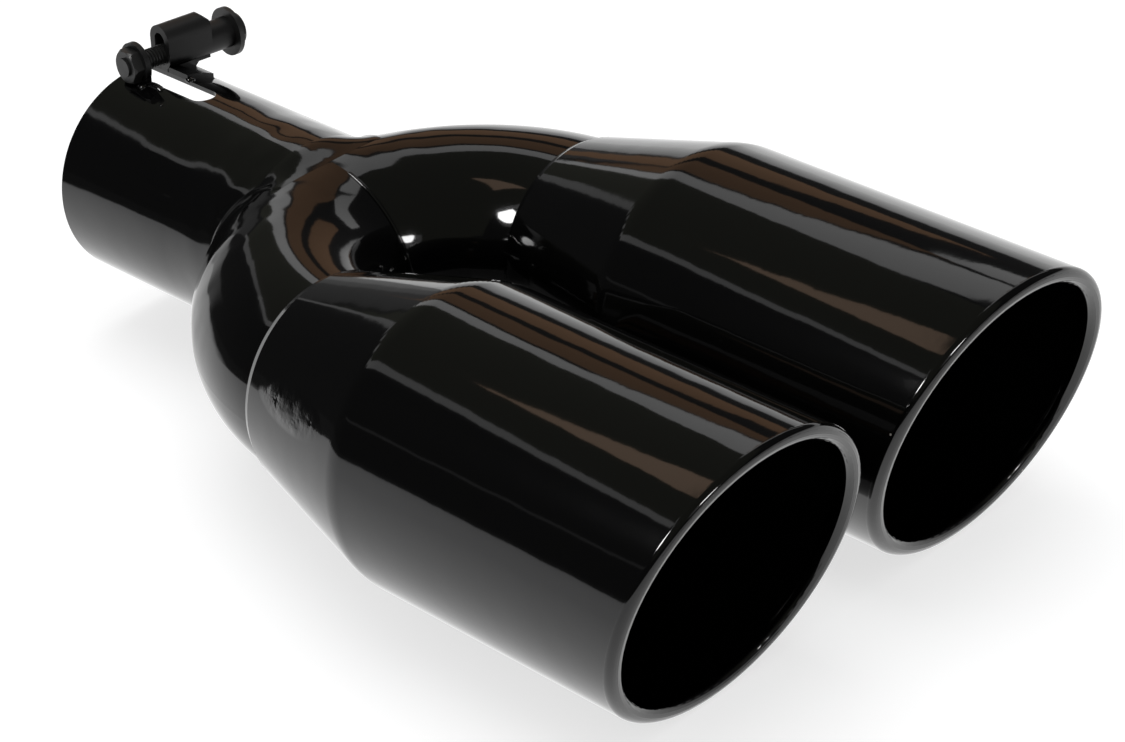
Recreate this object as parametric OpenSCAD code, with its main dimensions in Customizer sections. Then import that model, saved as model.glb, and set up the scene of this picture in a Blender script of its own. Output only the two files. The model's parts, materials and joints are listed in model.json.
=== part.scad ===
// Twin exhaust tip: a clamp-on inlet tube, two mitred elbows and two slash-cut rolled-edge tips.
// X runs with the gas from the inlet mouth, which is at the origin, to the outlets.
// Z is up, and the two outlets lie side by side along Y, the left one at +Y.

/* [Inlet tube] */
// Bore of the inlet tube, a slip fit on a 63.5 mm pipe
inlet_bore = 63.8; // [60:0.1:68]
// Wall of the inlet tube
inlet_wall = 1.4; // [1.2:0.1:1.8]
// Length of the inlet tube along its top
inlet_len = 84; // [80:1:87]
// Chamfer round the inlet mouth
mouth_chamfer = 0.4; // [0.2:0.1:0.6]
// Width of the clamping slot
slot_w = 8.2; // [7:0.1:9]
// Length of the clamping slot
slot_len = 36; // [30:1:40]

/* [Elbows] */
// Outside diameter of the elbow tube
elbow_od = 62; // [60.5:0.1:62.2]
// Wall of the elbow tube
elbow_wall = 1.5; // [1.2:0.1:1.8]
// Bend radius of the elbow centre line
bend_r = 62; // [60:1:64]
// Distance from the inlet tube's end to where the bends end and run straight
bend_run = 69; // [67:0.5:71]
// Straight stub of each elbow past its bend
stub_len = 8; // [6:1:12]
// Distance between the two outlet centre lines
outlet_gap = 97.2; // [96:0.2:100]

/* [Tips] */
// Outside diameter of the outlets
tip_od = 90; // [88:0.5:91]
// Wall of the tips
tip_wall = 1.5; // [1.2:0.1:1.6]
// How far before the bends' end the tips' thin edges lie on the elbows
tip_lap = 6.5; // [5:0.5:8]
// Thickness of that thin edge
lip_t = 0.95; // [0.8:0.05:1.2]
// Length of the cone, from the thin edge to the straight body
cone_len = 49; // [41:0.5:58]
// Radius that rounds the bend from cone to body
cone_round = 22; // [10:1:30]
// Length of the straight body along its top, to the rolled edge's centre line
body_len = 116.5; // [95:0.5:134]
// Angle of the slash cut, the top being longer
slash = 17.5; // [5:0.5:25]
// Radius of the rolled edge
roll_r = 2.55; // [2.2:0.05:3]

/* [Clamp] */
// Tilt of the slot and the clamp away from the top
clamp_tilt = 3.7; // [0:0.1:8]
// Skew of the bolt across the tube
clamp_skew = 3; // [0:0.5:5]
// Distance of the bolt from the inlet mouth
bolt_x = 7; // [6.8:0.1:9]
// Height of the bolt over the tube axis
bolt_h = 38; // [37.8:0.1:40]
// Diameter of the bolt shank
bolt_d = 5.9; // [5.4:0.1:6]
// Length of the bolt shank
bolt_len = 38.8; // [38.3:0.1:44]
// Size of the bolt head and nut across their flats
hex_af = 10; // [9:0.5:11]
// Height of the hexagon of the bolt head
head_h = 2.6; // [2:0.1:4]
// Diameter of the flange under the bolt head
flange_d = 15.4; // [12.5:0.1:16]
// Thickness of that flange
flange_t = 1.6; // [1.2:0.1:2]
// Height of the nut
nut_h = 3.2; // [2.6:0.1:3.6]
// Thickness of the strip that the lugs are made of
lug_t = 1.8; // [1.5:0.1:2]
// Radius of the round top of the ear lug
ear_r = 6.8; // [6:0.1:7.2]
// Width of the ear lug at its foot
ear_neck = 12.4; // [10:0.1:12.8]
// Outside width of the folded barrel lug
barrel_w = 9.8; // [9.6:0.1:11]
// Radius of the void over the bolt inside the barrel lug
void_r = 2.5; // [2:0.1:2.9]
// Width of the barrel lug's stem under its barrel
stem_w = 6; // [5:0.5:8]
// Height of the barrel lug's fold centre over the bolt
barrel_rise = 4.7; // [4:0.1:5.5]
// Length of the barrel lug's high fold
barrel_len = 16.2; // [15:0.1:17]
// Whole length of the barrel lug along the bolt
barrel_reach = 24.8; // [23:0.1:25.2]
// Length of the barrel lug's foot across the tube
foot_len = 10; // [8:0.5:12]
// Length of the barrel lug's foot along the tube
pad_len = 18.5; // [15:0.5:20]

/* [Welds] */
// Width of the weld round the inlet tube, measured along the tube
inlet_bead = 3; // [2.4:0.1:4]
// Height of the weld round the inlet tube
inlet_bead_h = 1.2; // [0.8:0.1:2]
// Half the width of the weld between the elbows
saddle_half = 1.6; // [1:0.1:2.5]
// Height of the weld between the elbows
saddle_h = 0.6; // [0.4:0.1:1]
// Length of the weld on the elbow at each tip's thin edge
tip_bead = 2; // [1.4:0.1:3]
// Radius of the weld beads at the lugs
stitch_r = 1.3; // [1:0.1:1.6]
// Length of the weld bead behind the ear lug
stitch_len = 6; // [4:0.5:10]

/* [Fits] */
// Clearance between an elbow and the tip round it
tip_fit = 0.5; // [0.45:0.05:0.8]
// Clearance round the bolt in the lugs
hole_fit = 0.35; // [0.2:0.05:0.5]
// Clearance of the bolt in its nut
nut_fit = 0.04; // [0.02:0.01:0.1]

/* [Hidden] */

$fn = 72;
// Facets of the tube where a much smaller bead is cut to it
fine = 288;
LEFT = 1;
RIGHT = -1;

// Overrun of every cut past the face that it opens
over = 2;

inlet_r = inlet_bore / 2 + inlet_wall;
elbow_r = elbow_od / 2;
tip_y = outlet_gap / 2;
bend_y = tip_y - bend_r;
bend_end = inlet_len + bend_run;
// The bend passes the mitre plane by this many degrees before it is cut there
bend_sweep = 112;

tip_start = bend_end - tip_lap;
cone_end = tip_start + cone_len;
tip_top = cone_end + body_len;
tip_r = tip_od / 2;
lip_bore_r = elbow_r + tip_fit;
roll_centre_r = tip_r - roll_r;
// Place along X where the slash plane crosses the tip's own axis
slash_x = tip_top - tan(slash) * roll_centre_r;

ear_y = -slot_w / 2 - lug_t;
barrel_y = slot_w / 2;
flange_y = barrel_y + barrel_reach;
pad_x0 = -(barrel_w + lug_t) / 2;

// Stations round the rolled edge, and points on each of its two arcs
roll_stations = 72;
roll_arc = 8;
// The rolled edge turns this far past the front of the roll
roll_turn = 140;
// Step by which the rolled edge's skirt stays inside the wall, and its length
roll_ease = 0.05;
roll_skirt = 1;

// Everything on the clamp side of the tube, tilted with the slot
module tilted() rotate([-clamp_tilt, 0, 0]) children();

// The bolt's own frame: X and Y as the tube's but skewed, with the bolt along Y at z = 0
module on_bolt() tilted() translate([bolt_x, 0, bolt_h]) rotate([0, 0, -clamp_skew]) children();

// Extrudes a profile along +Y, with the profile's x along X and its y along Z
module along_y(length) rotate([90, 0, 0]) mirror([0, 0, 1]) linear_extrude(length) children();

// A cylinder along X
module rod_x(radius, start, end) {
    translate([start, 0, 0]) rotate([0, 90, 0]) cylinder(r = radius, h = end - start);
}

// All of space, as far as the part reaches, on one side of the mitre plane
module half_space(side) {
    reach = 2 * tip_top;
    translate([-reach / 2, side > 0 ? 0 : -reach, -reach / 2]) cube([2 * reach, reach, reach]);
}

// A solid elbow of the given radius: the bend and its straight stub
module elbow_bar(side, radius, stub) {
    mirror([0, side > 0 ? 0 : 1, 0]) {
        translate([bend_end, bend_y, 0])
            rotate_extrude(angle = bend_sweep, start = 90) translate([bend_r, 0]) circle(radius);
        translate([0, tip_y, 0]) rod_x(radius, bend_end, bend_end + stub);
    }
}

// One elbow's solid, cut on the mitre plane
module mitred_bar(side, radius) {
    intersection() {
        elbow_bar(side, radius, stub_len);
        half_space(side);
    }
}

module both_bars(radius) {
    mitred_bar(LEFT, radius);
    mitred_bar(RIGHT, radius);
}

// The elbow's wall is cut away over the whole bore of the inlet tube, so the tail pipe stops at its edge
module elbow(side) {
    difference() {
        mitred_bar(side, elbow_r);
        elbow_bar(side, elbow_r - elbow_wall, stub_len + over);
        rod_x(inlet_bore / 2, 0, inlet_len);
    }
}

// The tube's revolved wall with its chamfered mouth, fish-mouthed to the elbows and slotted on top
module inlet_pipe() {
    color("#17171a") difference() {
        rotate([0, 90, 0]) rotate_extrude() polygon([
            [inlet_bore / 2, 0],
            [inlet_r - mouth_chamfer, 0],
            [inlet_r, mouth_chamfer],
            [inlet_r, inlet_len],
            [inlet_bore / 2, inlet_len],
        ]);
        both_bars(elbow_r);
        tilted() {
            translate([-over, -slot_w / 2, 0])
                cube([slot_len - slot_w / 2 + over, slot_w, inlet_r + over]);
            translate([slot_len - slot_w / 2, 0, 0]) cylinder(d = slot_w, h = inlet_r + over);
        }
    }
}

// The weld's outside: level along the tube, then falling to the elbows past the tube's end
module inlet_weld_envelope() {
    rod_x(inlet_r + inlet_bead_h, 0, inlet_len);
    translate([inlet_len, 0, 0]) rotate([0, 90, 0])
        cylinder(r1 = inlet_r + inlet_bead_h, r2 = elbow_r - inlet_bead_h, h = 2 * inlet_bead);
}

// The weld fills the corner between the tube and the elbows and closes the tube's end on top
module inlet_weld() {
    color("#1d1d20") difference() {
        intersection() {
            both_bars(elbow_r + inlet_bead);
            inlet_weld_envelope();
        }
        both_bars(elbow_r);
        rod_x(inlet_r, -over, inlet_len);
    }
}

module left_elbow() color("#151518") elbow(LEFT);
module right_elbow() color("#151518") elbow(RIGHT);

// A low strip along the mitre seam, from the inlet weld over the crotch and back below
module saddle_weld() {
    color("#1d1d20") difference() {
        intersection() {
            both_bars(elbow_r + saddle_h);
            translate([inlet_len + inlet_bead / 2, -saddle_half, -elbow_od])
                cube([bend_r, 2 * saddle_half, 2 * elbow_od]);
        }
        both_bars(elbow_r);
    }
}

// Points of an arc in the profile plane, from one bearing to another
function arc(centre, radius, from, to, count) = [
    for (i = [0:count]) let (a = from + (to - from) * i / count)
        centre + radius * [cos(a), sin(a)]
];

// Half the turn from the cone to the body
cone_turn = atan((tip_r - lip_bore_r - lip_t) / (cone_end - tip_start));
cone_tangent = cone_round * tan(cone_turn / 2);

// A tip's outer outline as [radius, x] points, with the rounded bend; in sets it in by the wall
function tip_side(in, lip) = concat(
    [[lip, tip_start]],
    arc([tip_r - in - (cone_round - in), cone_end + cone_tangent],
        cone_round - in, -cone_turn, 0, roll_arc),
    [[tip_r - in, tip_top + tip_r]]
);

module tip_wall_body() {
    inner = tip_side(tip_wall, lip_bore_r);
    rotate([0, 90, 0]) rotate_extrude() polygon(concat(
        tip_side(0, lip_bore_r + lip_t),
        [for (i = [len(inner) - 1:-1:0]) inner[i]]
    ));
}

// The rolled edge's section round its own centre, as [outward, forward] points
function roll_section() = concat(
    [[roll_r - roll_ease, -roll_skirt]],
    arc([0, 0], roll_r - roll_ease, 0, roll_turn + 90, roll_arc),
    arc([0, 0], roll_r - tip_wall + roll_ease, roll_turn + 90, 0, roll_arc),
    [[roll_r - tip_wall + roll_ease, -roll_skirt]]
);

// A point of the rolled edge at bearing a from the top, sheared onto the slash plane
function roll_point(a, q) = let (r = roll_centre_r + q[0], z = r * cos(a))
    [slash_x + tan(slash) * z + q[1], r * sin(a), z];

module rolled_edge() {
    section = roll_section();
    m = len(section);
    n = roll_stations;
    polyhedron(
        points = [for (i = [0:n - 1], q = section) roll_point(360 * i / n, q)],
        faces = [
            for (i = [0:n - 1], j = [0:m - 1])
                let (i2 = (i + 1) % n, j2 = (j + 1) % m)
                each [
                    [i * m + j, i2 * m + j2, i * m + j2],
                    [i * m + j, i2 * m + j, i2 * m + j2],
                ]
        ]
    );
}

module tip() {
    reach = 2 * tip_top;
    difference() {
        tip_wall_body();
        translate([slash_x, 0, 0]) rotate([0, slash, 0])
            translate([0, -reach / 2, -reach / 2]) cube(reach);
    }
    rolled_edge();
}

module left_tip() color("#121214") translate([0, tip_y, 0]) tip();
module right_tip() color("#121214") translate([0, -tip_y, 0]) tip();

// A fillet of weld where a tip's thin edge lies on its elbow, bored to the elbow's bend
module tip_weld(side) {
    difference() {
        translate([tip_start, side * tip_y, 0]) rotate([0, 90, 0]) rotate_extrude() polygon([
            [elbow_r - elbow_wall, -tip_bead],
            [elbow_r + tip_fit, -tip_bead],
            [lip_bore_r + lip_t / 2, -tip_bead / 2],
            [lip_bore_r + lip_t, 0],
            [elbow_r - elbow_wall, 0],
        ]);
        elbow_bar(side, elbow_r, stub_len);
    }
}

module left_tip_weld() color("#1d1d20") tip_weld(LEFT);
module right_tip_weld() color("#1d1d20") tip_weld(RIGHT);

// A pad as thick as the strip, curved to lie on the tube, from y0 to y1 across it
module pad(y0, y1) {
    intersection() {
        rod_x(inlet_r + lug_t, 0, inlet_len);
        tilted() translate([bolt_x + pad_x0, y0, 0]) cube([pad_len, y1 - y0, bolt_h]);
    }
}

// An upright plate with a round top round the bolt, its foot standing on the tube
module ear_lug() {
    color("#1b1b1e") difference() {
        on_bolt() translate([0, ear_y, 0]) along_y(lug_t) {
            circle(ear_r);
            translate([-ear_neck / 2, -bolt_h / 2]) square([ear_neck, bolt_h / 2]);
        }
        rod_x(inlet_r, -over, inlet_len);
        on_bolt() translate([0, ear_y - over, 0]) along_y(lug_t + 2 * over)
            circle(bolt_d / 2 + hole_fit);
    }
}

// A section that is rounded about the bolt and again at the fold's centre over it
module fold_outline(radius) {
    circle(radius);
    translate([0, barrel_rise]) circle(radius);
    translate([-radius, 0]) square([2 * radius, barrel_rise]);
}

// A strip folded over the bolt, high where its foot is and low where the bolt's flange bears
module barrel_lug() {
    outer = barrel_w / 2;
    top = barrel_rise + outer;
    low = barrel_reach - barrel_len;
    color("#1b1b1e") difference() {
        union() {
            pad(barrel_y, barrel_y + foot_len);
            intersection() {
                on_bolt() translate([0, barrel_y, 0]) {
                    along_y(barrel_len) {
                        fold_outline(outer);
                        translate([-stem_w / 2, -bolt_h / 2]) square([stem_w, bolt_h / 2]);
                    }
                    translate([0, barrel_len - lug_t, 0]) along_y(low + lug_t) circle(outer);
                }
                // Side view of the lug: the high fold's eased corner and the rising lower edge
                on_bolt() translate([-barrel_w, barrel_y, 0]) rotate([90, 0, 90])
                    linear_extrude(2 * barrel_w) polygon([
                        [0, -bolt_h / 2],
                        [0, top],
                        [barrel_len - lug_t, top],
                        [barrel_len, top - lug_t],
                        [barrel_len, outer],
                        [barrel_reach, outer],
                        [barrel_reach, -outer],
                        [foot_len + lug_t, -outer],
                        [foot_len, -outer - lug_t],
                        [foot_len, -bolt_h / 2],
                    ]);
            }
        }
        rod_x(inlet_r, -over, inlet_len);
        on_bolt() translate([0, barrel_y - over, 0]) {
            along_y(barrel_len - lug_t + over) fold_outline(void_r);
            along_y(barrel_reach + 2 * over) circle(bolt_d / 2 + hole_fit);
        }
    }
}

// A bead of weld along X with tapered ends, its axis on the tube's surface at y across it
module stitch(y, start, length) {
    tilted() translate([start, y, sqrt(inlet_r * inlet_r - y * y)]) rotate([0, 90, 0]) {
        cylinder(r1 = stitch_r / 2, r2 = stitch_r, h = stitch_r);
        translate([0, 0, stitch_r]) cylinder(r = stitch_r, h = length - 2 * stitch_r);
        translate([0, 0, length - stitch_r])
            cylinder(r1 = stitch_r, r2 = stitch_r / 2, h = stitch_r);
    }
}

// The ear lug's bead runs on from its back edge along the slot
module ear_lug_weld() {
    color("#242428") difference() {
        stitch(-slot_w / 2 - stitch_r, bolt_x + ear_neck / 2, stitch_len);
        rod_x(inlet_r, -over, inlet_len, $fn = fine);
    }
}

// The barrel lug's bead lies along the outer edge of its foot
module barrel_lug_weld() {
    edge = barrel_y + foot_len;
    color("#242428") difference() {
        stitch(edge + stitch_r / 2, bolt_x + pad_x0 + stitch_r, pad_len - 2 * stitch_r);
        rod_x(inlet_r, -over, inlet_len, $fn = fine);
        pad(barrel_y, edge, $fn = fine);
    }
}

// A hexagon prism with a turned chamfer on its outer end
module chamfered_hex(height) {
    tip_across = hex_af / cos(30);
    intersection() {
        cylinder(d = tip_across, h = height, $fn = 6);
        union() {
            cylinder(d = tip_across + over, h = height - (tip_across - hex_af) / 2);
            translate([0, 0, height - (tip_across - hex_af) / 2])
                cylinder(d1 = tip_across, d2 = hex_af, h = (tip_across - hex_af) / 2);
        }
    }
}

// The shank from the flange through both lugs, with the head outside
module clamp_bolt() {
    color("#2a2a2d") on_bolt() translate([0, flange_y, 0]) rotate([-90, 0, 0]) {
        mirror([0, 0, 1]) cylinder(d = bolt_d, h = bolt_len);
        cylinder(d = flange_d, h = flange_t);
        translate([0, 0, flange_t]) chamfered_hex(head_h);
    }
}

module clamp_nut() {
    color("#2a2a2d") on_bolt() translate([0, ear_y, 0]) rotate([90, 0, 0]) difference() {
        chamfered_hex(nut_h);
        translate([0, 0, -over]) cylinder(d = bolt_d + 2 * nut_fit, h = nut_h + 2 * over);
    }
}

inlet_pipe();
inlet_weld();
left_elbow();
right_elbow();
saddle_weld();
left_tip();
right_tip();
left_tip_weld();
right_tip_weld();
ear_lug();
barrel_lug();
ear_lug_weld();
barrel_lug_weld();
clamp_bolt();
clamp_nut();
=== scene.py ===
# %% [markdown]
# # A gloss-black twin exhaust tip
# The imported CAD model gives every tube, lug and bolt in its right place. This lesson lights it,
# gives each part the black enamel of the real one, and adds what is too fine for the solids:
# smooth rolled edges, the run of the welds, drops of weld and the thread of the clamp bolt.

# %% Load the model
import json
import math
import random

import bpy
from mathutils import Matrix, Vector


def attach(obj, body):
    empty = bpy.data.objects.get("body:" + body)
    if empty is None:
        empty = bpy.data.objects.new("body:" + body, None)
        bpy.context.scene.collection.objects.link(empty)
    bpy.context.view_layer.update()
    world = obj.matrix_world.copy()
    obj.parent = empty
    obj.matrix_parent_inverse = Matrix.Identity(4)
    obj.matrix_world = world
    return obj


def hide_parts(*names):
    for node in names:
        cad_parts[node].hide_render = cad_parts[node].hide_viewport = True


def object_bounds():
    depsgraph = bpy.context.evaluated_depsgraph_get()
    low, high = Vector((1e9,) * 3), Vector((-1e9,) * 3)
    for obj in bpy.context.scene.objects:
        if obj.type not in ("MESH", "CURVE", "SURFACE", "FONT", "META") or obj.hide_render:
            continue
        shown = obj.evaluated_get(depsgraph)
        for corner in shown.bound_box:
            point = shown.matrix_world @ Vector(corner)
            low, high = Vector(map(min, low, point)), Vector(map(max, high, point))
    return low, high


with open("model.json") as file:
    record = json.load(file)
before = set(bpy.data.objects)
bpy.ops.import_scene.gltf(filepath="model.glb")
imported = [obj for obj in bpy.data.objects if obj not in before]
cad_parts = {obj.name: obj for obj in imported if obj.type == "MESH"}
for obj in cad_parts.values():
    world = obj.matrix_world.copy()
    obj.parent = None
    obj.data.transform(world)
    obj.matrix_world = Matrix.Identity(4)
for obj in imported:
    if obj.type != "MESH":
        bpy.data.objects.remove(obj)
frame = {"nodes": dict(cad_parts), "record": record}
nodes = frame["nodes"]
cad_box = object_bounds()
MM = 0.001
print("CAD box", [tuple(round(v, 4) for v in corner) for corner in cad_box])

# %% [markdown]
# ## The camera
# The photograph looks down on the outlets from the right front, rolled a little. The camera could
# be set by eye, but on a shape this long a small error shows, so its place came from fitting the
# outlets, the tubes and the seams to the picture. The columns of the matrix are the camera's
# right, its up and its back.

# %% Camera
AZIMUTH, ELEVATION, ROLL = (math.radians(a) for a in (48.85, 30.99, -5.76))
CAMERA_PLACE = Vector((0.84401, -0.57508, 0.51922))
LENS_MM = 116.643
CLIP_NEAR, CLIP_FAR = 0.05, 50

back = Vector((math.sin(AZIMUTH) * math.cos(ELEVATION),
               -math.cos(AZIMUTH) * math.cos(ELEVATION),
               math.sin(ELEVATION)))
level = Vector((math.cos(AZIMUTH), math.sin(AZIMUTH), 0))
upright = back.cross(level)
camera_right = level * math.cos(ROLL) + upright * math.sin(ROLL)
camera_up = upright * math.cos(ROLL) - level * math.sin(ROLL)
turn = Matrix((camera_right, camera_up, back)).transposed()

bpy.ops.object.camera_add()
camera = bpy.context.object
camera.name = "photo_camera"
camera.matrix_world = Matrix.Translation(CAMERA_PLACE) @ turn.to_4x4()
camera.data.lens = LENS_MM
camera.data.clip_start, camera.data.clip_end = CLIP_NEAR, CLIP_FAR
bpy.context.scene.camera = camera
bpy.context.scene.view_settings.view_transform = "Standard"
print("camera at", tuple(CAMERA_PLACE), "with a lens of", LENS_MM, "mm")

# %% [markdown]
# ## Helpers for nodes
# Every floor, light and paint here is a small tree of nodes. Written out, each node takes a line
# to make it and a line for each socket. These helpers make a node and feed its sockets in one
# call, so a tree reads like a sentence.

# %% Node helpers
def add_node(tree, kind, sockets=None, **settings):
    """A node with its settings, its sockets fed with plain values or other nodes' outputs."""
    made = tree.nodes.new(kind)
    for name, value in settings.items():
        setattr(made, name, value)
    for key, value in (sockets or {}).items():
        if isinstance(value, bpy.types.NodeSocket):
            tree.links.new(value, made.inputs[key])
        else:
            made.inputs[key].default_value = value
    return made


def math_node(tree, operation, *values):
    """The result of a Math node on outputs or plain numbers."""
    return add_node(tree, "ShaderNodeMath", dict(enumerate(values)), operation=operation).outputs[0]


def map_range(tree, value, start, end, low=0.0, high=1.0, **settings):
    """A value from one range carried over to another."""
    sockets = {"Value": value, "From Min": start, "From Max": end, "To Min": low, "To Max": high}
    return add_node(tree, "ShaderNodeMapRange", sockets, **settings).outputs["Result"]


def mix_colour(tree, factor, first, second):
    """A colour between two others."""
    return add_node(tree, "ShaderNodeMix", {"Factor": factor, "A": first, "B": second},
                    data_type="RGBA").outputs["Result"]


def noise(tree, vector, scale, detail):
    """A Noise texture on the given vector."""
    sockets = {"Vector": vector, "Scale": scale, "Detail": detail, "Roughness": 0.5}
    return add_node(tree, "ShaderNodeTexNoise", sockets).outputs["Fac"]


def ramp(tree, factor, stops):
    """The colour of a ramp over (position, colour) stops."""
    made = add_node(tree, "ShaderNodeValToRGB", {0: factor})
    steps = made.color_ramp.elements
    for step, (position, colour) in zip(steps, (stops[0], stops[-1])):
        step.position, step.color = position, colour
    for position, colour in stops[1:-1]:
        steps.new(position).color = colour
    return made.outputs["Color"]


def choose(tree, factor, otherwise, chosen):
    """A mix of two shaders."""
    return add_node(tree, "ShaderNodeMixShader", {0: factor, 1: otherwise, 2: chosen}).outputs[0]


def grey(level, blue=1.0):
    """A grey colour, whose blue may differ a little."""
    return (level, level, level * blue, 1)


def new_material(name):
    """An empty node material and its tree."""
    made = bpy.data.materials.new(name)
    made.use_nodes = True
    made.node_tree.nodes.clear()
    return made, made.node_tree


def deselect():
    """Leaves nothing selected, so that the next operator acts on its own piece only."""
    bpy.ops.object.select_all(action="DESELECT")


print("node helpers ready")

# %% [markdown]
# ## The studio
# Gloss black shows nothing but what it mirrors, so the lights are laid out from the reflections in
# the photograph. Ordinary lamps would light the floor and throw shadows as well. Cards that glow
# and are seen by the gloss alone do neither, so each streak can be moved by itself.

# %% Card and lamp helpers
def hang(card, name, strength, colour):
    """Makes a mesh a light that only the paint's gloss mirrors."""
    card.name = name
    card.visible_camera = False
    card.visible_shadow = False
    card.visible_diffuse = False
    made, tree = new_material(name)
    glow = add_node(tree, "ShaderNodeEmission", {"Color": (*colour, 1), "Strength": strength})
    add_node(tree, "ShaderNodeOutputMaterial", {"Surface": glow.outputs[0]})
    card.data.materials.append(made)
    return card


def place_card(name, outline, height, strength, colour=(1, 1, 1)):
    """A level card over the part with the given outline, as (x, y) corners in mm."""
    deselect()
    bpy.ops.mesh.primitive_circle_add(vertices=len(outline), radius=1, fill_type="NGON")
    card = bpy.context.object
    for corner, (x, y) in zip(card.data.vertices, outline):
        corner.co = (x * MM, y * MM, height * MM)
    return hang(card, name, strength, colour)


def stand_card(name, start, end, bottom, top, strength):
    """An upright white card from one (x, y) to another, in mm."""
    deselect()
    bpy.ops.mesh.primitive_plane_add(size=1)
    card = bpy.context.object
    spots = [(*start, bottom), (*end, bottom), (*start, top), (*end, top)]
    for corner, spot in zip(card.data.vertices, spots):
        corner.co = Vector(spot) * MM
    return hang(card, name, strength, (1, 1, 1))


PART_MIDDLE = Vector((0.15, 0, 0.02))


def place_lamp(name, azimuth, elevation, distance, radius, strength):
    """A round lamp in a direction given in degrees, facing the middle of the part."""
    turn_a, turn_e = math.radians(azimuth), math.radians(elevation)
    away = Vector((math.cos(turn_a) * math.cos(turn_e), math.sin(turn_a) * math.cos(turn_e),
                   math.sin(turn_e)))
    deselect()
    bpy.ops.mesh.primitive_circle_add(vertices=32, radius=radius, fill_type="NGON",
                                      location=PART_MIDDLE + away * distance)
    lamp = bpy.context.object
    lamp.rotation_mode = "QUATERNION"
    lamp.rotation_quaternion = away.to_track_quat("Z", "Y")
    return hang(lamp, name, strength, (1, 1, 1))


print("studio helpers ready")

# %% [markdown]
# ## The floor
# A white sheet lies under the part. To the camera it is nearly white by its own glow, with just
# enough lit paper under the glow to keep a faint shadow. To the gloss it is a sheet of a set
# brightness that ends on the near side and on a slanted line behind, because the lower sides of
# the tubes turn dark there.

# %% Floor
FLOOR_SIZE = 12
FLOOR_GAP = 0.0004
FLOOR_GLOW = 0.68
SHEET_STRENGTH = 1.15
SHEET_EDGE, SHEET_BLUR = -1.25, 0.05
SHEET_LEVELS = [(0.0, grey(0.05)), (0.04, grey(0.66, 1.01)), (0.80, grey(0.78, 1.01)),
                (0.96, grey(1))]
SLANT_RISE, SLANT_SHIFT, SLANT_BLUR = 1 / 1.8, -0.114, 0.01
FAR_SIDE = (-0.25, -0.15)

floor_z = cad_box[0].z - FLOOR_GAP
bpy.ops.mesh.primitive_plane_add(size=FLOOR_SIZE, location=(0, 0, floor_z))
floor = bpy.context.object
floor.name = "floor"
floor_paint, tree = new_material("floor_white")
path = add_node(tree, "ShaderNodeLightPath")
paper = add_node(tree, "ShaderNodeBsdfDiffuse", {"Color": (0.42, 0.42, 0.422, 1)})
glow_strength = math_node(tree, "MULTIPLY", path.outputs["Is Camera Ray"], FLOOR_GLOW)
seen_glow = add_node(tree, "ShaderNodeEmission", {"Strength": glow_strength})
both = add_node(tree, "ShaderNodeAddShader", {0: paper.outputs[0], 1: seen_glow.outputs[0]})

where = add_node(tree, "ShaderNodeTexCoord").outputs["Object"]
spot = add_node(tree, "ShaderNodeSeparateXYZ", {0: where}).outputs
across = map_range(tree, spot["Y"], SHEET_EDGE - SHEET_BLUR, 0)
sheet = ramp(tree, across, SHEET_LEVELS)
from_line = math_node(tree, "MULTIPLY_ADD", spot["Y"], -SLANT_RISE, spot["X"])
inside = map_range(tree, from_line, SLANT_SHIFT - SLANT_BLUR, SLANT_SHIFT + SLANT_BLUR)
kept = math_node(tree, "MAXIMUM", inside, map_range(tree, spot["Y"], *FAR_SIDE))
cut_sheet = mix_colour(tree, kept, grey(0.05), sheet)
mirrored = add_node(tree, "ShaderNodeEmission", {"Color": cut_sheet, "Strength": SHEET_STRENGTH})
seen_floor = choose(tree, path.outputs["Is Glossy Ray"], both.outputs[0], mirrored.outputs[0])
add_node(tree, "ShaderNodeOutputMaterial", {"Surface": seen_floor})
floor.data.materials.append(floor_paint)
print("floor at", round(floor_z, 5))

# %% [markdown]
# ## The room
# Behind the part stands a low white wall, which draws the bright line along the top of each tube,
# and the rest of the room is dark. A mesh wall would hide other views, so the wall is painted on
# the world, for the gloss only. The camera sees plain white, and matt paint gets an even light.

# %% World
ROOM_DARK = grey(0.042)
WALL_LEVELS = [(0.0, grey(1)), (0.145, grey(0.62)), (0.168, ROOM_DARK)]
WALL_SIDE = (-0.1, 0.25)
FILL_LEVEL = 0.62

world = bpy.data.worlds.new("room")
world.use_nodes = True
bpy.context.scene.world = world
tree = world.node_tree
tree.nodes.clear()
where = add_node(tree, "ShaderNodeTexCoord").outputs["Generated"]
direction = add_node(tree, "ShaderNodeSeparateXYZ", {0: where}).outputs
wall = ramp(tree, direction["Z"], WALL_LEVELS)
wall_side = map_range(tree, direction["Y"], *WALL_SIDE)
room = add_node(tree, "ShaderNodeBackground", {"Color": mix_colour(tree, wall_side, ROOM_DARK, wall)})
fill = add_node(tree, "ShaderNodeBackground", {"Color": grey(FILL_LEVEL)})
white = add_node(tree, "ShaderNodeBackground", {"Color": grey(1)})
path = add_node(tree, "ShaderNodeLightPath").outputs
lit_room = choose(tree, path["Is Diffuse Ray"], room.outputs[0], fill.outputs[0])
seen_room = choose(tree, path["Is Camera Ray"], lit_room, white.outputs[0])
add_node(tree, "ShaderNodeOutputWorld", {"Surface": seen_room})
print("room painted on the world")

# %% [markdown]
# ## The streaks
# Over the part hang a pale strip, which draws the upper streak, a thin strip nearer to the camera,
# which draws the lower one, and warm panels between and behind them. A wide dim card is the
# ceiling. All hang at one height, so each streak follows from the card's outline seen from above.
# Upright cards stand behind the part for the cones, which look further back than the bodies do.

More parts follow.
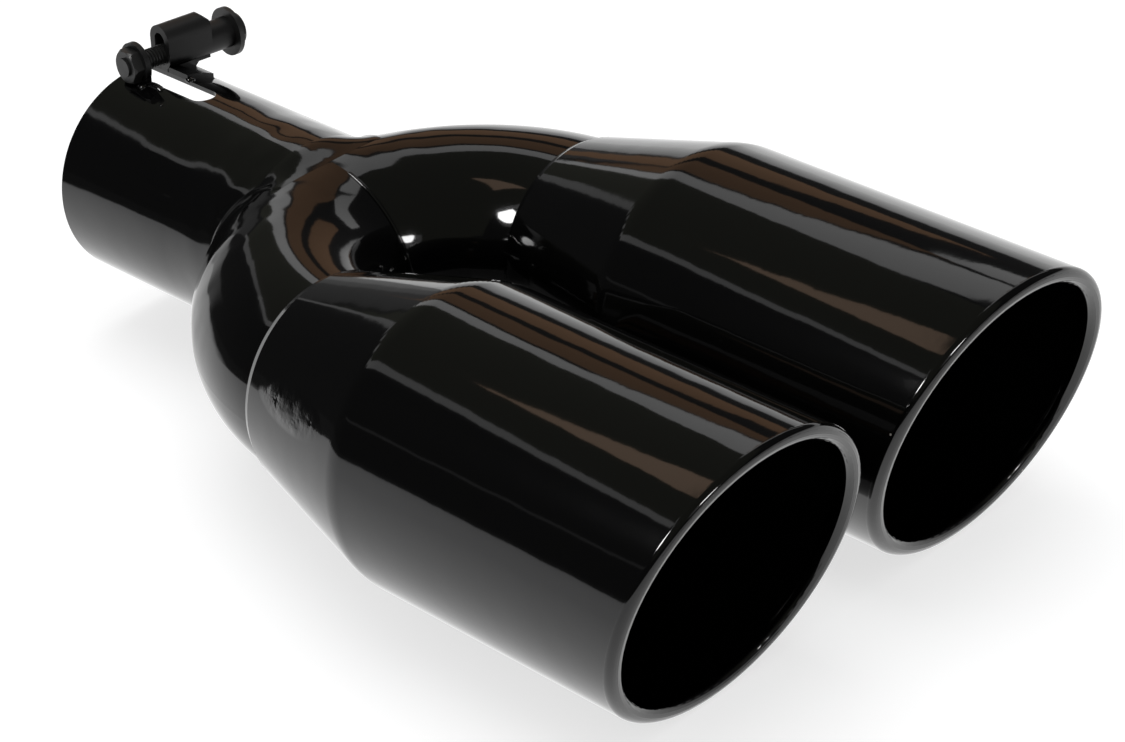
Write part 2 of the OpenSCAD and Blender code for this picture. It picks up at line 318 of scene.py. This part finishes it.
# %% Cards overhead
CARD_Z, CEILING_Z, TONGUE_Z = 374, 376, 373
WARM = (1, 0.60, 0.37)
PALE_WARM = (1, 0.71, 0.52)
CEILING_GREEN = (1, 1.02, 0.84)
place_card("pale_strip", [
    (-800, 415), (-505, 300), (-390, 258), (-200, 188), (-100, 166), (20, 148), (60, 165),
    (60, 410), (-30, 365), (-70, 262), (-105, 222), (-200, 252), (-390, 330), (-505, 372),
    (-800, 470)], CARD_Z, 1.05)
place_card("thin_strip", [
    (-420, -60), (-380, -196), (-142, -200), (-15, -280), (60, -326), (60, -374), (-15, -328),
    (-142, -250), (-406, -240), (-452, -60)], CARD_Z, 0.70)
place_card("pale_tail", [
    (-60, 400), (60, 410), (-30, 560), (-120, 1080), (-240, 1080), (-120, 560)], CARD_Z, 0.9)
place_card("thin_tail", [
    (-452, -60), (-622, 172), (-805, 240), (-950, 290), (-945, 265), (-793, 212), (-596, 150),
    (-420, -60)], CARD_Z, 0.45)
place_card("warm_near", [
    (-800, 480), (-390, 345), (-200, 268), (-105, 240), (-70, 280), (-50, 400), (-200, 405),
    (-390, 450), (-800, 590)], CARD_Z, 0.35, WARM)
place_card("warm_far", [
    (-1300, 760), (-600, 560), (-230, 505), (-250, 700), (-330, 900), (-1300, 1080)],
    CARD_Z, 0.40, WARM)
place_card("warm_tongue", [(70, -40), (50, -140), (-60, -102)], TONGUE_Z, 1.05, PALE_WARM)
place_card("dim_ceiling", [
    (-800, 415), (-505, 300), (-390, 258), (-200, 188), (-100, 166), (20, 148), (1100, 165),
    (1300, -900), (240, -1000), (60, -340), (-15, -300), (-142, -222), (-400, -215),
    (-436, -60), (-609, 162), (-800, 226)],
    CEILING_Z, 0.10, CEILING_GREEN)
print("cards hang at", CARD_Z, "mm")

# %% Cards and lamps at the sides
WALL_START, WALL_END = (-1600, 450), (-1600, 1250)
for wall_name, bottom, top, strength in (
        ("grey_wall_low", 0, 190, 0.34),
        ("grey_wall_middle", 190, 330, 0.22),
        ("grey_wall_high", 330, 620, 0.13)):
    stand_card(wall_name, WALL_START, WALL_END, bottom, top, strength)
stand_card("low_line", (-1300, -1210), (-300, -1210), 480, 520, 0.16)

for lamp_name, azimuth, elevation, distance, radius, strength in (
        ("left_lamp", -113, 38, 1.0, 0.13, 26),
        ("left_glow", -113, 37, 1.05, 0.18, 0.5),
        ("front_lamp", -15, 26, 0.75, 0.075, 22),
        ("front_glow", -17, 24, 0.76, 0.14, 0.5)):
    place_lamp(lamp_name, azimuth, elevation, distance, radius, strength)
print("three wall cards, one low line, two lamps with their glow")

# %% [markdown]
# ## The key light
# The lugs and the bolt are matt, so they need a real light. A large soft one from above gives them
# shape, and it is hidden from the gloss, where it would add a streak that the photograph lacks.

# %% Key light
KEY_PLACE, KEY_SIZE, KEY_POWER = (0.1, 0.1, 1.6), 1.4, 16
bpy.ops.object.light_add(type="AREA", location=KEY_PLACE)
key = bpy.context.object
key.name = "soft_key"
key.data.shape = "RECTANGLE"
key.data.size, key.data.size_y = KEY_SIZE, KEY_SIZE
key.data.energy = KEY_POWER
key.rotation_mode = "QUATERNION"
key.rotation_quaternion = (Vector((0.15, 0, 0)) - key.location).to_track_quat("-Z", "Y")
key.visible_glossy = False
print("key light of", KEY_POWER, "W")

# %% [markdown]
# ## Enamel
# The enamel is black under a clear gloss. Its surface isn't quite flat: sprayed and baked paint
# keeps a faint orange peel, which bends the streaks a little. A few specks of dust lie on it. Both
# are node groups, so each paint can take its own amount.

# %% Orange peel and dust
def group(name, inputs, outputs):
    """A node group with named sockets, each input a pair of socket type and default value."""
    made = bpy.data.node_groups.new(name, "ShaderNodeTree")
    for label, (kind, value) in inputs.items():
        item = made.interface.new_socket(name=label, in_out="INPUT", socket_type=kind)
        if value is not None:
            item.default_value = value
    for label in outputs:
        made.interface.new_socket(name=label, in_out="OUTPUT", socket_type="NodeSocketFloat")
    return made, made.nodes.new("NodeGroupInput").outputs, made.nodes.new("NodeGroupOutput").inputs


POINT_INPUT = ("NodeSocketVector", None)
BROAD_SCALE, FINE_SCALE = 60, 300
orange_peel, given, result = group(
    "orange_peel", {"Vector": POINT_INPUT, "Fine": ("NodeSocketFloat", 0.4)}, ["Height"])
broad = noise(orange_peel, given["Vector"], BROAD_SCALE, 1)
fine = noise(orange_peel, given["Vector"], FINE_SCALE, 1)
fine_part = math_node(orange_peel, "MULTIPLY", fine, given["Fine"])
orange_peel.links.new(math_node(orange_peel, "ADD", broad, fine_part), result["Height"])

SPECK_CELLS, SPECK_SIZE, PATCH_SCALE = 130, 0.045, 23
dust, given, result = group(
    "dust_specks", {"Vector": POINT_INPUT, "Amount": ("NodeSocketFloat", 0.5)}, ["Mask"])
cells = add_node(dust, "ShaderNodeTexVoronoi",
                 {"Vector": given["Vector"], "Scale": SPECK_CELLS, "Randomness": 1})
speck = math_node(dust, "LESS_THAN", cells.outputs["Distance"], SPECK_SIZE)
patches = noise(dust, given["Vector"], PATCH_SCALE, 2)
sparse = math_node(dust, "LESS_THAN", patches, given["Amount"])
dust.links.new(math_node(dust, "MULTIPLY", speck, sparse), result["Mask"])
print("groups", orange_peel.name, dust.name)

# %% [markdown]
# ### Waves near the inlet weld
# The heat of welding pulls a thin tube out of true, and the streaks wander there. The waves are a
# slow noise whose depth fades with the distance from the weld, measured along the tube.

# %% Heat waves
INLET_END = 84.0
WAVE_REACH, WAVE_FULL, WAVE_SCALE = 0.034, 0.004, 55
heat_waves, given, result = group("heat_waves", {"Vector": POINT_INPUT}, ["Height"])
along = add_node(heat_waves, "ShaderNodeSeparateXYZ", {0: given["Vector"]}).outputs["X"]
from_weld = math_node(heat_waves, "ABSOLUTE",
                      math_node(heat_waves, "SUBTRACT", along, INLET_END * MM))
near_weld = map_range(heat_waves, from_weld, WAVE_REACH, WAVE_FULL,
                      interpolation_type="SMOOTHSTEP")
swell = noise(heat_waves, given["Vector"], WAVE_SCALE, 1)
heat_waves.links.new(math_node(heat_waves, "MULTIPLY", swell, near_weld), result["Height"])
print("group", heat_waves.name)

# %% [markdown]
# ### Dry spray on the right tip
# Low on the right tip's cone the spray has landed half dry, and the enamel is rough and mottled.
# An image would be one way. A Mapping node that turns a place on the cone into the middle of a
# ball does it without one: inside the ball the gloss is broken, and it fades to the ball's edge.

# %% Dry spray
SPRAY_PLACE = (0.170, -0.0832, 0.0165)
SPRAY_SIZE = (0.025, 0.0075, 0.0065)
MOTTLE_SCALE, MOTTLE_LOW, MOTTLE_HIGH = 170, 0.42, 0.62
dry_spray, given, result = group("dry_spray", {"Vector": POINT_INPUT}, ["Mask", "Height"])
patch = add_node(
    dry_spray, "ShaderNodeMapping",
    {"Vector": given["Vector"],
     "Location": [-place / size for place, size in zip(SPRAY_PLACE, SPRAY_SIZE)],
     "Scale": [1 / size for size in SPRAY_SIZE]},
    vector_type="POINT")
far_off = add_node(dry_spray, "ShaderNodeVectorMath", {0: patch.outputs[0]}, operation="LENGTH")
fade = map_range(dry_spray, far_off.outputs["Value"], 1.0, 0.55, interpolation_type="SMOOTHSTEP")
mottle = noise(dry_spray, given["Vector"], MOTTLE_SCALE, 3)
spots = map_range(dry_spray, mottle, MOTTLE_LOW, MOTTLE_HIGH)
dry_spray.links.new(math_node(dry_spray, "MULTIPLY", fade, spots), result["Mask"])
dry_spray.links.new(math_node(dry_spray, "MULTIPLY", fade, mottle), result["Height"])
print("group", dry_spray.name)

# %% [markdown]
# ### The paints
# All the paints are one recipe: a black base, a gloss that varies slowly over the part, specks of
# dust and orange peel. The tubes add the waves, the tips the dry spray. The lugs are matt, and
# glossy like the tube at their foot, where their colour is also darkened towards the tube as painted
# shade.

# %% Enamel parts
DUST_COLOUR = (0.20, 0.19, 0.17, 1)
# Painted shade: the lugs' colour at their foot is near black, fading in between two radii from the
# tube's axis.
FOOT_PAINTED_SHADE_COLOUR = (0.0013, 0.0013, 0.0014, 1)
FOOT_OUTER_RADIUS, FOOT_INNER_RADIUS = 0.0385, 0.0355
WET_GLOSS, SPRAY_ROUGH, SPRAY_DEPTH = 0.22, 0.22, 0.0006
GLOSS_SPREAD, CLOUD_SCALE = (0.75, 1.35), 18


def use_group(tree, kind, coords, **sockets):
    """A node group on the object's coordinates."""
    made = add_node(tree, "ShaderNodeGroup", node_tree=kind)
    tree.links.new(coords, made.inputs["Vector"])
    for label, value in sockets.items():
        made.inputs[label].default_value = value
    return made.outputs


# Where this mask is 1 the lugs are glossier and darkened by painted shade.
def foot_shade_and_gloss_mask(tree, coords):
    """1 at the tube's wall and 0 a few mm above it."""
    place = add_node(tree, "ShaderNodeSeparateXYZ", {0: coords}).outputs
    squares = [math_node(tree, "POWER", place[axis], 2) for axis in "YZ"]
    from_axis = math_node(tree, "SQRT", math_node(tree, "ADD", *squares))
    return map_range(tree, from_axis, FOOT_OUTER_RADIUS, FOOT_INNER_RADIUS)


def bump_layer(tree, height, depth, under=None):
    """The normal of a bump of the given depth in metres, over another bump where one is given."""
    made = add_node(tree, "ShaderNodeBump", {"Height": height, "Strength": 1, "Distance": depth})
    if under:
        tree.links.new(under, made.inputs["Normal"])
    return made.outputs["Normal"]


print("enamel parts ready")

# %% Enamel maker
def enamel(name, base, roughness, peel_depth, fine_peel, dust_amount, ior=1.53, waves=0.0,
           dry_patch=False, shaded_glossy_foot=False):
    """Black enamel: its colour, gloss, orange peel in metres, dust, and what it has besides."""
    made, tree = new_material(name)
    coords = add_node(tree, "ShaderNodeTexCoord").outputs["Object"]
    paint = add_node(tree, "ShaderNodeBsdfPrincipled", {"IOR": ior})
    specks = use_group(tree, dust, coords, Amount=dust_amount)
    colour = mix_colour(tree, specks["Mask"], (*base, 1), DUST_COLOUR)
    cloud = noise(tree, coords, CLOUD_SCALE, 3)
    rough = map_range(tree, cloud, 0, 1, *(roughness * share for share in GLOSS_SPREAD))
    under = None
    if shaded_glossy_foot:
        foot_shade_and_gloss = foot_shade_and_gloss_mask(tree, coords)
        # Painted shade: the lug's colour goes to near black towards the tube's wall.
        colour = mix_colour(tree, foot_shade_and_gloss, colour, FOOT_PAINTED_SHADE_COLOUR)
        rough = math_node(tree, "SUBTRACT", rough, math_node(tree, "MULTIPLY", foot_shade_and_gloss, WET_GLOSS))
    if dry_patch:
        spray = use_group(tree, dry_spray, coords)
        rougher = math_node(tree, "MULTIPLY", spray["Mask"], SPRAY_ROUGH)
        rough = math_node(tree, "ADD", rough, rougher)
        under = bump_layer(tree, spray["Height"], SPRAY_DEPTH)
    if waves:
        under = bump_layer(tree, use_group(tree, heat_waves, coords)["Height"], waves)
    peel = use_group(tree, orange_peel, coords, Fine=fine_peel)
    tree.links.new(colour, paint.inputs["Base Color"])
    tree.links.new(rough, paint.inputs["Roughness"])
    tree.links.new(bump_layer(tree, peel["Height"], peel_depth, under), paint.inputs["Normal"])
    add_node(tree, "ShaderNodeOutputMaterial", {"Surface": paint.outputs[0]})
    return made


paints = {
    "gloss_black": enamel("tube_enamel", (0.0013, 0.0013, 0.0014), 0.062, 0.00012, 0.07, 0.36,
                          waves=0.0018),
    "tip_black": enamel("tip_enamel", (0.0012, 0.0012, 0.0013), 0.06, 0.00011, 0.07, 0.36,
                        dry_patch=True),
    "weld_black": enamel("weld_enamel", (0.0015, 0.0015, 0.0016), 0.08, 0.0002, 0.1, 0.38),
    # The lugs get a painted shade and more gloss at their foot.
    "lug_black": enamel("lug_enamel", (0.007, 0.007, 0.0072), 0.42, 0.0001, 0.3, 0.42, 1.38,
                        shaded_glossy_foot=True),
    "bolt_black": enamel("bolt_coating", (0.011, 0.011, 0.0108), 0.38, 0.0001, 0.5, 0.44, 1.45),
}
slot_of = {part["node"]: part["material_slot"] for part in frame["record"]["subparts"]}
for name, node in nodes.items():
    node.data.materials.clear()
    node.data.materials.append(paints[slot_of[name]])
print("paints", sorted(paints))

# %% [markdown]
# ## Rolled edges
# The mouth of each tip is a sheet edge rolled back on itself, cut on a slant. A roll is a torus,
# and a slanted one is a torus leaned over: each point moves forward by its height times the
# slant. A fine torus gives the unbroken highlight that a coarse solid can't.

# %% Rolled edges
SLANT = math.tan(math.radians(17.5))
ROLL_CENTRE, ROLL_THICK = 42.45, 2.575
ROLL_X = 298.5
TIP_Y = 48.6


def finish_piece(piece, name, slot_name):
    """Names a finished piece, rides it on the part and gives it the slot's paint."""
    piece.name = name
    piece.data.name = name
    piece.data.materials.clear()
    piece.data.materials.append(paints[slot_name])
    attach(piece, "root")
    print(name, len(piece.data.polygons), "faces")
    return piece


def select_only(piece):
    """Selects one piece and makes it the active one."""
    deselect()
    piece.select_set(True)
    bpy.context.view_layer.objects.active = piece


def apply_place(piece):
    """Puts an object's place, turn and size into its mesh."""
    select_only(piece)
    bpy.ops.object.transform_apply(location=True, rotation=True, scale=True)


for side_name, y in (("left", TIP_Y), ("right", -TIP_Y)):
    deselect()
    bpy.ops.mesh.primitive_torus_add(
        major_radius=ROLL_CENTRE * MM, minor_radius=ROLL_THICK * MM, major_segments=160,
        minor_segments=28, rotation=(0, math.radians(90), 0), location=(ROLL_X * MM, y * MM, 0))
    roll = bpy.context.object
    apply_place(roll)
    for corner in roll.data.vertices:
        corner.co.x += SLANT * corner.co.z
    bpy.ops.object.shade_smooth()
    finish_piece(roll, side_name + "_rolled_edge", "tip_black")

# %% [markdown]
# ## Weld beads
# A weld is a row of small overlapping puddles. Each bead here is a curve drawn along its seam and
# given a round section whose size changes a little from point to point, and the paint rounds it
# off. A bead could be sculpted, but a curve can be redrawn when its seam moves.

# %% Bead maker
PUDDLE_STEPS, PUDDLE_RATE = 12, 0.9
shake = random.Random(5)


def puddles(count, ripple, wander):
    """Sizes along a bead: a ripple for each puddle, and a slow change over them."""
    slow = [shake.uniform(-wander, wander) for _ in range(count // PUDDLE_STEPS + 2)]
    sizes = []
    for i in range(count):
        at, part = divmod(i / PUDDLE_STEPS, 1)
        drift = slow[int(at)] * (1 - part) + slow[int(at) + 1] * part
        sizes.append(1 + drift + ripple * abs(math.sin(i * PUDDLE_RATE)))
    return sizes


def bead(name, points, radius, ripple=0.10, wander=0.12):
    """An open bead of weld along points in mm."""
    line = bpy.data.curves.new(name, "CURVE")
    line.dimensions = "3D"
    spline = line.splines.new("POLY")
    spline.points.add(len(points) - 1)
    for spot, place, size in zip(spline.points, points, puddles(len(points), ripple, wander)):
        spot.co = (*(c * MM for c in place), 1)
        spot.radius = size
    line.bevel_depth = radius * MM
    line.bevel_resolution = 3
    line.use_fill_caps = True
    made = bpy.data.objects.new(name, line)
    bpy.context.collection.objects.link(made)
    select_only(made)
    bpy.ops.object.convert(target="MESH")
    bpy.ops.object.shade_smooth()
    return bpy.context.object


print("bead maker ready")

# %% [markdown]
# ## The weld round the inlet
# This weld has been ground and painted, so it is a smooth skin from the tube onto the elbows, wide
# on top and narrow at the sides. No modifier knows both surfaces, so the skin's rings are worked
# out: each ring starts on the tube, ends on the elbow, and eases between them. An elbow is a torus,
# so a little algebra says where the tube meets it.

# %% The two surfaces
INLET_R, ELBOW_R, BEND_R = 33.3, 31.0, 62.0
BEND_X, BEND_Y = 153.0, -13.4
SEARCH = (20.0, 60.0)
HALVINGS = 40


def seam_x(angle):
    """Where the tube ends along X, at an angle from the top."""
    y, z = INLET_R * math.sin(angle), INLET_R * math.cos(angle)
    if abs(z) >= ELBOW_R:
        return INLET_END
    outer = BEND_R + math.sqrt(ELBOW_R ** 2 - z ** 2)
    reach = outer ** 2 - (abs(y) - BEND_Y) ** 2
    return min(INLET_END, BEND_X - math.sqrt(max(reach, 0.0)))


def elbow_height(x, angle):
    """Radius from the tube's axis at which a ray at this angle leaves the elbow."""
    low, high = SEARCH
    for _ in range(HALVINGS):
        r = (low + high) / 2
        y, z = abs(r * math.sin(angle)), r * math.cos(angle)
        off = math.hypot(math.hypot(x - BEND_X, y - BEND_Y) - BEND_R, z)
        low, high = (r, high) if off < ELBOW_R else (low, r)
    return r


print("seam at the top", round(seam_x(0), 1), "mm, at the side", round(seam_x(math.pi / 2), 1), "mm")

# %% Skin round the inlet tube
RINGS, ACROSS = 240, 12
SKIN, LIFT, SWELL = 1.6, 0.03, 0.32
SKIN_START, SIDE_RUN, TOP_RUN, TOP_FADE = 1.6, 4.2, 6.5, 3
corners, faces = [], []
lumps = puddles(RINGS, 0.0, 0.5)
for i in range(RINGS):
    angle = math.tau * i / RINGS
    start = seam_x(angle) - SKIN_START
    on_top = max(0.0, 1 - (INLET_END - seam_x(angle)) / TOP_FADE) ** 2
    run = SIDE_RUN + TOP_RUN * on_top
    end_height = elbow_height(start + run, angle)
    ring = []
    for j in range(ACROSS + 1):
        part = j / ACROSS
        ease = part * part * (3 - 2 * part)
        swell = SWELL * lumps[i] * math.sin(math.pi * part)
        height = (INLET_R + LIFT) * (1 - ease) + (end_height + LIFT) * ease + swell
        ring.append((start + run * part, height))
    under = [(x, r - SKIN) for x, r in reversed(ring)]
    for x, r in ring + under:
        corners.append((x * MM, r * math.sin(angle) * MM, r * math.cos(angle) * MM))
size = 2 * (ACROSS + 1)
for i in range(RINGS):
    for j in range(size):
        k, m = (i + 1) % RINGS, (j + 1) % size
        faces.append((i * size + j, i * size + m, k * size + m, k * size + j))


def face_outwards(piece, fill=False):
    """Turns the faces of a closed piece outwards, its open triangles closed first if asked."""
    select_only(piece)
    bpy.ops.object.mode_set(mode="EDIT")
    bpy.ops.mesh.select_all(action="SELECT")
    if fill:
        bpy.ops.mesh.fill_holes(sides=3)
    bpy.ops.mesh.normals_make_consistent(inside=False)
    bpy.ops.object.mode_set(mode="OBJECT")


skin_mesh = bpy.data.meshes.new("inlet_skin")
skin_mesh.from_pydata(corners, [], faces)
skin = bpy.data.objects.new("inlet_skin", skin_mesh)
bpy.context.collection.objects.link(skin)
face_outwards(skin)
bpy.ops.object.shade_smooth_by_angle(angle=math.radians(40))
finish_piece(skin, "inlet_skin", "weld_black")
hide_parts("inlet_weld")

# %% [markdown]
# ## The seam between the elbows
# The two elbows are cut on their middle plane, and the line where they meet runs over the crotch
# and back below it. It is a fine, even weld, so its bead is thin and hardly ripples.

# %% Bead between the elbows
CREASE_STEPS, CREASE_TURN = 120, 0.41
SADDLE_RADIUS = 0.6


def crease(steps):
    """The line where the two elbows meet, from the inlet over the crotch and back below."""
    line = []
    for i in range(steps + 1):
        a = math.pi * CREASE_TURN * (2 * i / steps - 1)
        reach = BEND_R - ELBOW_R * math.cos(a)
        x = BEND_X - math.sqrt(max(0.0, reach ** 2 - BEND_Y ** 2))
        line.append((x, 0.0, ELBOW_R * math.sin(a)))
    return line


saddle_bead = bead("saddle_bead", crease(CREASE_STEPS), SADDLE_RADIUS, ripple=0.0, wander=0.05)
finish_piece(saddle_bead, "saddle_bead", "weld_black")
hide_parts("saddle_weld")

# %% [markdown]
# ## Weld drops
# Spatter and short tacks sit on the tube round the lugs. Each is a small ball pressed flat on the
# tube, and they are joined into one piece. The clamp is turned a little about the tube's axis, so
# the balls are placed on the tube first, and turned with it.

# %% Weld drops
CLAMP_TILT, CLAMP_SKEW = math.radians(-3.7), math.radians(-3)
DROP_SHAPE = (1.25, 1, 0.75)
DROPS = [(11.7, -7.2, 1.3), (13.4, -5.2, 1.1), (15.4, -5.0, 1.1), (17.2, 7.6, 1.0),
         (25.2, -10.8, 0.6), (19.5, 5.2, 1.5), (7.2, 5.6, 1.2)]
clamp_turn = Matrix.Rotation(CLAMP_TILT, 4, "X")


def on_tube(x, y, rise=0.0):
    """A point on the tube's wall on the clamp side, in mm, before the clamp's turn."""
    return Vector((x, y, math.sqrt(INLET_R ** 2 - y ** 2) + rise))


balls = []
for x, y, radius in DROPS:
    deselect()
    bpy.ops.mesh.primitive_uv_sphere_add(segments=20, ring_count=12, radius=radius * MM)
    ball = bpy.context.object
    lean = Matrix.Rotation(-math.asin(y / INLET_R), 4, "X")
    flatten = Matrix.Diagonal((*DROP_SHAPE, 1))
    ball.matrix_world = clamp_turn @ Matrix.Translation(on_tube(x, y) * MM) @ lean @ flatten
    apply_place(ball)
    bpy.ops.object.shade_smooth()
    balls.append(ball)
deselect()
for ball in balls:
    ball.select_set(True)
bpy.context.view_layer.objects.active = balls[0]
bpy.ops.object.join()
finish_piece(balls[0], "weld_drops", "weld_black")

# %% [markdown]
# ## Beads at the lugs
# Each lug is held by one short run of weld along its foot. The bead sinks into the tube at both
# ends, as a run does where the torch starts and stops.

# %% Beads at the lugs
BEAD_STEPS, BEAD_RISE, BEAD_SINK = 24, 0.1, 0.9
for bead_name, node_name, y, first, last, radius in (
        ("ear_bead", "ear_lug_weld", -5.3, 12.6, 19.0, 1.1),
        ("barrel_bead", "barrel_lug_weld", 14.6, 3.4, 18.4, 0.8)):
    path_points = []
    for i in range(BEAD_STEPS + 1):
        part = i / BEAD_STEPS
        rise = BEAD_RISE - BEAD_SINK * abs(2 * part - 1) ** 4
        path_points.append(clamp_turn @ on_tube(first + (last - first) * part, y, rise))
    lug_bead = bead(bead_name, path_points, radius)
    finish_piece(lug_bead, bead_name, "weld_black")
    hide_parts(node_name)

# %% [markdown]
# ## Bolt thread
# A thread is a small triangle carried round the shank and along it at once. Blender's Screw
# modifier does just that: the triangle is its profile, and the offset is the pitch. A bump would
# look much the same from afar, but the thread's edge shows against the white floor.

# %% Bolt thread
PITCH, SHANK_R, TURNS, TOOTH = 1.0, 2.95, 13, 0.34
BOLT_X, BOLT_H, THREAD_START = 7, 38, -5.6
deselect()
bpy.ops.mesh.primitive_circle_add(vertices=3, radius=TOOTH * MM, fill_type="NOTHING",
                                  rotation=(math.radians(90), 0, 0),
                                  location=(SHANK_R * MM, 0, 0))
thread = bpy.context.object
apply_place(thread)
spin = thread.modifiers.new("thread", "SCREW")
spin.axis = "Z"
spin.angle = math.tau
spin.screw_offset = PITCH * MM
spin.iterations = TURNS
spin.steps = 28
spin.use_smooth_shade = False
bpy.ops.object.modifier_apply(modifier=spin.name)
bolt_frame = clamp_turn @ Matrix.Translation(Vector((BOLT_X, 0, BOLT_H)) * MM) @ \
    Matrix.Rotation(CLAMP_SKEW, 4, "Z")
thread.matrix_world = bolt_frame @ Matrix.Translation((0, THREAD_START * MM, 0)) @ \
    Matrix.Rotation(math.radians(-90), 4, "X")
apply_place(thread)
face_outwards(thread, fill=True)
finish_piece(thread, "bolt_thread", "bolt_black")
